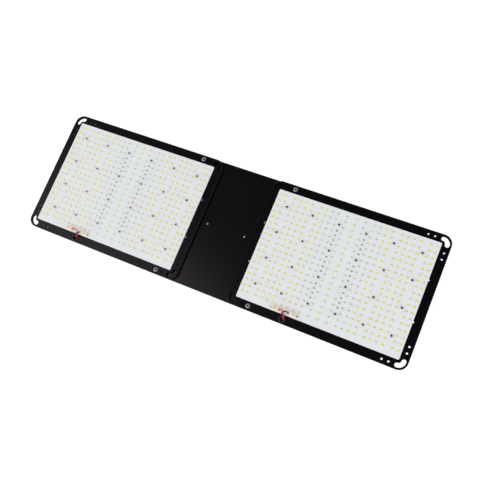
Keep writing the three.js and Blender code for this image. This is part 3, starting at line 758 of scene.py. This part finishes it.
def board_screw():
    """Pan head with an open cross recess, and a dark shape just inside the recess as a piece of its own: painted shade
    in the recess.
    """
    radius, height, depth = 2.6, 1.8, 1.2
    recess = cross(1.5, 0.55)
    profile = [(0, 0), (radius, 0), (radius, 0.6), (radius * 0.97, 1.1), (radius * 0.91, 1.5), (radius * 0.84, 1.7),
               (radius * 0.76, height)]
    head = turned(profile, 24, recess, depth)
    # A dark sheet just inside the recess's walls, closed by a floor: it paints the shade that falls in the recess.
    recess_shade = [(x, y, z) for z, loop in ((height - 0.12, recess), (height - depth + 0.05, inset(recess, 0.25)))
              for x, y in inset(loop, 0.02)]
    count = len(recess)
    walls = [[i, (i + 1) % count, count + (i + 1) % count, count + i] for i in range(count)]
    bottom = cap([[(x, y) for x, y, _ in recess_shade[count:]]], height - depth + 0.05, True)
    return head, joined([(recess_shade, walls), bottom])


def copies(shape, places, z, turns=None):
    turns = turns or [0.0] * len(places)
    return joined([placed(shape, x, y, z, Matrix.Rotation(angle, 3, "Z")) for (x, y), angle in zip(places, turns)])


def led_board(word):
    x0 = centres[word]
    yellow = [(x0 + x, y) for x in yellow_columns for y in rows]
    red = [(x0 + x, y) for x in red_columns for y in rows]
    small = [(x0 + x, (upper + lower) / 2 + step)
             for x in small_led_columns
             for upper, lower in zip(screw_rows, screw_rows[1:])
             for step in small_led_offsets]
    screw_places = [(x0 + x, y) for x in screw_columns for y in screw_rows]

    holes = [circle(x, y, 1.7, 16) for x, y in screw_places]
    outline = rounded(board_size.x, board_size.y, 1.5, 4, x0, 0)
    make(f"led_board_{word}_finished", solid(outline, holes, board_bottom, board_top, 0.12), "led_board",
         stands_for=[f"led_board_{word}"])
    case, face, pads = led_parts()
    red_case, red_face, red_chip = red_led_parts()
    dome_case, dome, dome_pads = dome_led_parts()
    z = board_top
    make(f"white_led_cases_{word}", copies(case, yellow, z), "led_case", "led_white")
    make(f"white_led_faces_{word}", copies(face, yellow, z), "led_white")
    make(f"red_led_cases_{word}", copies(red_case, red, z), "led_case", "led_red")
    make(f"red_led_faces_{word}", copies(red_face, red, z), "led_red")
    make(f"red_led_chips_{word}", copies(red_chip, red, z), "led_chip", "led_red")
    make(f"small_led_cases_{word}", copies(dome_case, small, z), "led_case", "led_small")
    make(f"small_led_lenses_{word}", copies(dome, small, z), "led_small")
    solder = joined([copies(pads, yellow + red, z), copies(dome_pads, small, z)])
    make(f"led_solder_{word}", solder, "solder")
    head, recess = board_screw()
    turns = [random.uniform(0, math.pi) for _ in screw_places]
    make(f"board_screws_{word}", copies(head, screw_places, z, turns), "board_screw")
    # The recess shapes get the near-black finish: painted shade inside the screw heads.
    make(f"board_screw_recess_shades_{word}", copies(recess, screw_places, z, turns), "recess_painted_shade", "board_screw")


for word in sides:
    led_board(word)

# ------------------------------------------------------------------ wire terminals


def terminal_tab(direction):
    """Soldered tab at the closed end of a terminal: a flat lug under a small mound of solder."""
    tab = solid(rounded(2.4, 2.4, 0.5, 3, -direction * 7.3, 0), [], 0, 0.3, 0.1)
    mound = turned([(0, 0.2), (0.95, 0.25), (0.85, 0.55), (0.55, 0.8), (0, 0.9)], 16)
    return joined([tab, placed(mound, -direction * 7.4, 0, 0)])


for word in sides:
    for pole, direction in (("positive", 1), ("negative", -1)):
        node = f"terminal_{word}_{pole}"
        at = middle(node)
        refined(node, 0.25, "wire_terminal")
        make(node + "_tab", placed(terminal_tab(direction), at.x, at.y, board_top), "tab_solder", "solder")
        spring = solid(rounded(2.1, 1.35, 0.25, 2, -direction * 1.2, 0), [], 3.6, 3.95, 0.08)
        make(node + "_spring", placed(spring, at.x, at.y, board_top), "contact", "wire_terminal")

# ------------------------------------------------------------------ wiring

# Each route has the same points as the CAD's. A lead enters its terminal at the height entry, and runs on the back
# at the height run.
entry = board_top + 2.25
run = 36.8
back_x = [100, 50, 0, -50, -100, -150]
outlet_y = -14
axis_height = 17
routes = {
    "lead_left_positive": [
        (-276.2, -95, entry), (-271.2, -95, entry), (-268.4, -93.9, 51), (-265, -93.8, 51.8),
        (-261.8, -94.5, 52), (-259.4, -95.9, 51.8), (-258, -98.4, 51.2), (-257.6, -101.4, 50.2),
        (-258.3, -104.1, 49), (-259.2, -106.3, 46.8), (-259.4, -107.3, 44), (-259.4, -107.3, 41),
        (-259.4, -107.3, 37.6), (-259.4, -104.8, 34.2), (-259, -97, 33.8), (-258.4, -88, 36),
        (-257.6, -80, run), (-257.6, -70, run),
        (-254, -50, run), (-247, -25, run), (-244.4, -4, run), (-238.5, 8.5, run),
        (-226, 13, run), (-210, 12.6, run), (-200.4, 8.6, run), (-198, 2.4, run),
        (-202.5, -1.4, run), (-210, -1.8, run), (-219, -1.8, run),
    ],
    "lead_left_negative": [
        (-248.4, -95, entry), (-253.2, -95, 50.1), (-254.9, -96.3, 51.5), (-256.2, -97.8, 53),
        (-257.6, -99.7, 53.8), (-258.9, -101.9, 53.1), (-260.5, -104.1, 51.1), (-262.6, -106.4, 48.2),
        (-263.3, -107.8, 45.2), (-263.4, -108.1, 42.8), (-263.4, -108.1, 40.6), (-263.4, -108.1, 37.6),
        (-263.2, -105.2, 34), (-262.8, -97, 33.6), (-262.2, -88, 36),
        (-261.6, -80, run), (-261.6, -70, run), (-259.4, -58, 35), (-251, -47.4, 33.4),
        (-241, -42, 35), (-232, -39.6, run), (-214, -39, run), (-201, -38, run),
        (-196.4, -33.4, run), (-201, -28.8, run), (-209, -28.2, run),
        (-219, -28.2, run),
    ],
    "lead_right_positive": [
        (138.4, -95, entry), (143.4, -95, entry), (145.6, -94.4, 50.9), (147.8, -94.6, 51.8),
        (149.8, -95.7, 51.8), (151.6, -97.3, 51.2), (153, -99.8, 50.6), (153.6, -102.6, 49.9),
        (153.7, -105, 48.2), (154, -106.8, 45.4), (154.2, -107.3, 42), (154.2, -107.3, 37.8),
        (153.9, -105, 34.2), (153.4, -97, 33.8),
        (152.8, -88, 36), (152.2, -80, run), (152, -70, run), (147.5, -55, run),
        (136, -47.4, run), (120, -46, run),
        *[(x, -46, run) for x in back_x],
        (-168, -45, run), (-180, -38.6, 35.4), (-189, -28.6, 33.6), (-196, -19, 33.2),
        (-202, -12, 35), (-209, -10.2, run), (-219, -10.2, run),
    ],
    "lead_right_negative": [
        (164.2, -95, entry), (159.7, -95, entry), (157.7, -94.5, 51.3), (155.7, -93.9, 53),
        (153.4, -94.3, 53.8), (151.6, -95.7, 54.1), (150.4, -97.7, 53.7), (149.9, -100, 52.6),
        (149.7, -102.4, 51), (149.8, -105, 48.9), (150.1, -107.2, 46), (150.2, -108.1, 43.4),
        (150.2, -108.1, 40.6), (150.2, -108.1, 37.6), (149.9, -105.2, 34), (149.4, -97, 33.8),
        (148.8, -88, 36), (148.2, -80, run), (148, -72, run), (143.6, -58, run),
        (133, -51.2, run), (119, -50, run),
        *[(x, -50, run) for x in back_x],
        (-166, -49.6, run), (-178, -45.4, run), (-187, -35.4, run),
        (-195.6, -26.6, run), (-204, -24, run), (-219, -24, run),
    ],
    "output_cable": [
        (-112, outlet_y, axis_height), (-130, outlet_y, axis_height), (-142, outlet_y, 18.6),
        (-153, outlet_y, 23.6), (-162, outlet_y, 30), (-172, outlet_y, 35.6), (-184, outlet_y, 37),
    ],
    "output_core_positive": [
        (-184.4, -12.4, 37), (-190, -11.8, 37), (-198, -7.6, 37),
        (-206, -6, run), (-219, -6, run),
    ],
    "output_core_negative": [
        (-184.4, -15.6, 37), (-190, -16.6, 37), (-198, -19, 37),
        (-206, -19.8, run), (-219, -19.8, run),
    ],
}

for name, points in routes.items():
    if name == "output_cable":
        make(name + "_finished", swept(route(points), 3.45, 28), "cable_jacket", stands_for=[name])
    else:
        colour = "red_wire" if name.endswith("positive") else "black_wire"
        make(name + "_finished", swept(route(points), 1.0, 16), colour, stands_for=[name])

for name in ("splice_positive", "splice_negative"):
    refined(name, 0.6, "splice")
    lo, hi = low(name), high(name)
    window = solid(rounded(7, 10.5, 1, 4, lo.x + 5.5, (lo.y + hi.y) / 2), [], -0.35, 0.35, 0.15)
    make(name + "_window", placed(window, 0, 0, lo.z - 0.1), "splice_window", "splice")
for name in ("plate_clip_1", "plate_clip_2", "slab_clip_left", "slab_clip_right"):
    refined(name, 0.4, "clip")

# ------------------------------------------------------------------ driver

refined("driver_case", 0.3, "driver_housing")
refined("inlet_end_plate", 0.35, "driver_housing")
refined("outlet_end_plate", 0.35, "driver_housing")
refined("dimmer_nut", 0.25, "dimmer_metal")


def ribbed(inner, outer, count):
    """A round outline whose radius goes in and out."""
    radii = [outer if k % 2 else inner for k in range(count)]
    return [(r * math.cos(2 * math.pi * k / count), r * math.sin(2 * math.pi * k / count))
            for k, r in enumerate(radii)]


def gland(node, sign, direction, bore):
    """Cable gland: hexagonal body, ribbed cap and rubber seal. Height 0 is the end plate's face."""
    at = middle(node)
    hexagon = circle(0, 0, 10.5, 6)
    body = solid(hexagon, [circle(0, 0, 7.4, 32)], 0, 5, 0.5, 0.2)
    skirt = solid(ribbed(8.75, 9.3, 48), [circle(0, 0, 7.4, 32)], 5.3, 13.6, 0.4, 0.2)
    dome = turned([(7.4, 13.4), (8.6, 13.4), (8.6, 14.4), (8.1, 15.8), (7.2, 16.7), (6.2, 17), (5.6, 16.8),
                   (5.6, 13.4), (7.4, 13.4)], 40)
    stem = turned([(bore, -7), (7.6, -7), (7.6, 0), (7.3, 0.3), (7.3, 13.4), (bore, 13.4), (bore, -7)], 40)
    seal = turned([(bore, 12), (5.5, 12), (5.5, 16.2), (bore + 0.5, 16.6), (bore, 16.2), (bore, 12)], 40)
    place = (sign * end_plate_face, at.y, axis_height)
    make(node + "_finished", placed(joined([body, skirt, dome, stem]), *place, direction), "gland",
         stands_for=[node])
    make(node + "_seal", placed(seal, *place, direction), "gland_seal", "gland")


gland("inlet_gland", 1, to_right, 4.0)
gland("outlet_gland", -1, to_left, 3.6)


def dimmer_knob():
    """Ribbed knob with a skirt and a painted pointer line; it rides on the turning body. Height 0 is the case's end."""
    at = middle("dimmer_knob")
    grip = solid(ribbed(8.45, 8.9, 56), [circle(0, 0, 4.7, 32)], 7.4, 17.6, 0.3, 0.1)
    skirt = solid(circle(0, 0, 9, 56), [circle(0, 0, 4.7, 32)], 5.6, 7.3, 0.4, 0.2)
    crown = turned([(0, 16.6), (8.3, 16.6), (8.3, 18.2), (8.0, 18.7), (7.4, 18.9), (6.8, 18.7), (6.4, 18.45),
                    (0, 18.4)], 56)
    place = (-case_end, at.y, axis_height)
    make("dimmer_knob_finished", placed(joined([grip, skirt, crown]), *place, to_left), "knob",
         stands_for=["dimmer_knob"], body="dimmer")
    line = solid(rounded(1.0, 5.2, 0.3, 3, 0, 5.2), [], 18.2, 18.75, 0.1)
    make("dimmer_pointer", placed(line, *place, to_left), "pointer", "knob", body="dimmer")


dimmer_knob()

# ------------------------------------------------------------------ CAD nodes that stay: inside the driver

kept = {
    "circuit_board": "circuit_board", "input_choke": "ferrite", "transformer": "ferrite",
    "bulk_capacitor": "capacitor", "output_capacitor": "capacitor", "dimmer_body": "dimmer_body",
    "dimmer_shaft": "dimmer_metal",
}
for node, material in kept.items():
    nodes[node].data.materials.clear()
    nodes[node].data.materials.append(finishes[material])
